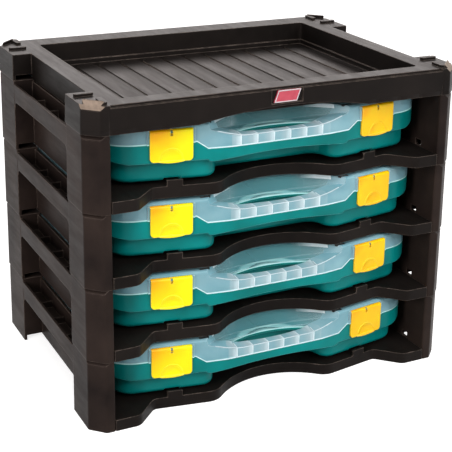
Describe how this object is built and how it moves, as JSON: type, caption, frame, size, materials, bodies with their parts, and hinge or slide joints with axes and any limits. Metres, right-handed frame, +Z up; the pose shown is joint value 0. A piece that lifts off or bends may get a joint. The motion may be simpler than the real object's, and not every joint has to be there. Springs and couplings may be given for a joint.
{
  "type": "organizer rack",
  "caption": "Stacking rack of moulded levels with a top tray, each level holding a slide-in small-parts case with a bow handle, frosted hinged lid and two swing latches",
  "frame": {"origin": "middle of the rack's footprint, on the floor under the feet", "axes": "+X to the right as seen from the front, +Y to the back, +Z up; the cases slide out toward -Y"},
  "size_m": [0.43, 0.308, 0.3511],
  "materials": {
    "rack_plastic": "satin moulded, brown-black",
    "base_plastic": "satin moulded, teal green",
    "lid_plastic": "frosted see-through plastic, bluish grey",
    "latch_plastic": "satin moulded, yellow",
    "divider_plastic": "satin moulded, teal green",
    "badge_face": "bare red plate with a silver edge"
  },
  "bodies": {
    "rack": {"side_frame_left_1": "rack_plastic", "side_frame_right_1": "rack_plastic", "shelf_1": "rack_plastic", "back_wall_1": "rack_plastic", "side_frame_left_2": "rack_plastic", "side_frame_right_2": "rack_plastic", "shelf_2": "rack_plastic", "back_wall_2": "rack_plastic", "side_frame_left_3": "rack_plastic", "side_frame_right_3": "rack_plastic", "shelf_3": "rack_plastic", "back_wall_3": "rack_plastic", "side_frame_left_4": "rack_plastic", "side_frame_right_4": "rack_plastic", "shelf_4": "rack_plastic", "back_wall_4": "rack_plastic", "top_tray": "rack_plastic", "badge_plate": "badge_face"},
    "case_1": {"case_tub_1": "base_plastic", "case_rim_1": "base_plastic", "dividers_1": "divider_plastic"},
    "lid_1": {"case_lid_1": "lid_plastic"},
    "left_latch_1": {"latch_left_1": "latch_plastic"},
    "right_latch_1": {"latch_right_1": "latch_plastic"},
    "case_2": {"case_tub_2": "base_plastic", "case_rim_2": "base_plastic", "dividers_2": "divider_plastic"},
    "lid_2": {"case_lid_2": "lid_plastic"},
    "left_latch_2": {"latch_left_2": "latch_plastic"},
    "right_latch_2": {"latch_right_2": "latch_plastic"},
    "case_3": {"case_tub_3": "base_plastic", "case_rim_3": "base_plastic", "dividers_3": "divider_plastic"},
    "lid_3": {"case_lid_3": "lid_plastic"},
    "left_latch_3": {"latch_left_3": "latch_plastic"},
    "right_latch_3": {"latch_right_3": "latch_plastic"},
    "case_4": {"case_tub_4": "base_plastic", "case_rim_4": "base_plastic", "dividers_4": "divider_plastic"},
    "lid_4": {"case_lid_4": "lid_plastic"},
    "left_latch_4": {"latch_left_4": "latch_plastic"},
    "right_latch_4": {"latch_right_4": "latch_plastic"}
  },
  "joints": [
    {"name": "case_slide_1", "type": "slide", "parent": "rack", "child": "case_1", "axis": [0, -1, 0], "range_m": [0, 0.25]},
    {"name": "lid_hinge_1", "type": "hinge", "parent": "case_1", "child": "lid_1", "pos_m": [0, 0.1415, 0.054], "axis": [-1, 0, 0], "range_deg": [0, 0.5]},
    {"name": "latch_left_turn_1", "type": "hinge", "parent": "lid_1", "child": "left_latch_1", "pos_m": [-0.11997, -0.13475, 0.07], "axis": [-0.987, 0.1609, 0], "range_deg": [0, 88]},
    {"name": "latch_right_turn_1", "type": "hinge", "parent": "lid_1", "child": "right_latch_1", "pos_m": [0.11997, -0.13475, 0.07], "axis": [-0.987, -0.1609, 0], "range_deg": [0, 88]},
    {"name": "case_slide_2", "type": "slide", "parent": "rack", "child": "case_2", "axis": [0, -1, 0], "range_m": [0, 0.25]},
    {"name": "lid_hinge_2", "type": "hinge", "parent": "case_2", "child": "lid_2", "pos_m": [0, 0.1415, 0.1335], "axis": [-1, 0, 0], "range_deg": [0, 0.5]},
    {"name": "latch_left_turn_2", "type": "hinge", "parent": "lid_2", "child": "left_latch_2", "pos_m": [-0.11997, -0.13475, 0.1495], "axis": [-0.987, 0.1609, 0], "range_deg": [0, 88]},
    {"name": "latch_right_turn_2", "type": "hinge", "parent": "lid_2", "child": "right_latch_2", "pos_m": [0.11997, -0.13475, 0.1495], "axis": [-0.987, -0.1609, 0], "range_deg": [0, 88]},
    {"name": "case_slide_3", "type": "slide", "parent": "rack", "child": "case_3", "axis": [0, -1, 0], "range_m": [0, 0.25]},
    {"name": "lid_hinge_3", "type": "hinge", "parent": "case_3", "child": "lid_3", "pos_m": [0, 0.1415, 0.213], "axis": [-1, 0, 0], "range_deg": [0, 0.5]},
    {"name": "latch_left_turn_3", "type": "hinge", "parent": "lid_3", "child": "left_latch_3", "pos_m": [-0.11997, -0.13475, 0.229], "axis": [-0.987, 0.1609, 0], "range_deg": [0, 88]},
    {"name": "latch_right_turn_3", "type": "hinge", "parent": "lid_3", "child": "right_latch_3", "pos_m": [0.11997, -0.13475, 0.229], "axis": [-0.987, -0.1609, 0], "range_deg": [0, 88]},
    {"name": "case_slide_4", "type": "slide", "parent": "rack", "child": "case_4", "axis": [0, -1, 0], "range_m": [0, 0.25]},
    {"name": "lid_hinge_4", "type": "hinge", "parent": "case_4", "child": "lid_4", "pos_m": [0, 0.1415, 0.2925], "axis": [-1, 0, 0], "range_deg": [0, 0.5]},
    {"name": "latch_left_turn_4", "type": "hinge", "parent": "lid_4", "child": "left_latch_4", "pos_m": [-0.11997, -0.13475, 0.3085], "axis": [-0.987, 0.1609, 0], "range_deg": [0, 88]},
    {"name": "latch_right_turn_4", "type": "hinge", "parent": "lid_4", "child": "right_latch_4", "pos_m": [0.11997, -0.13475, 0.3085], "axis": [-0.987, -0.1609, 0], "range_deg": [0, 88]}
  ]
}
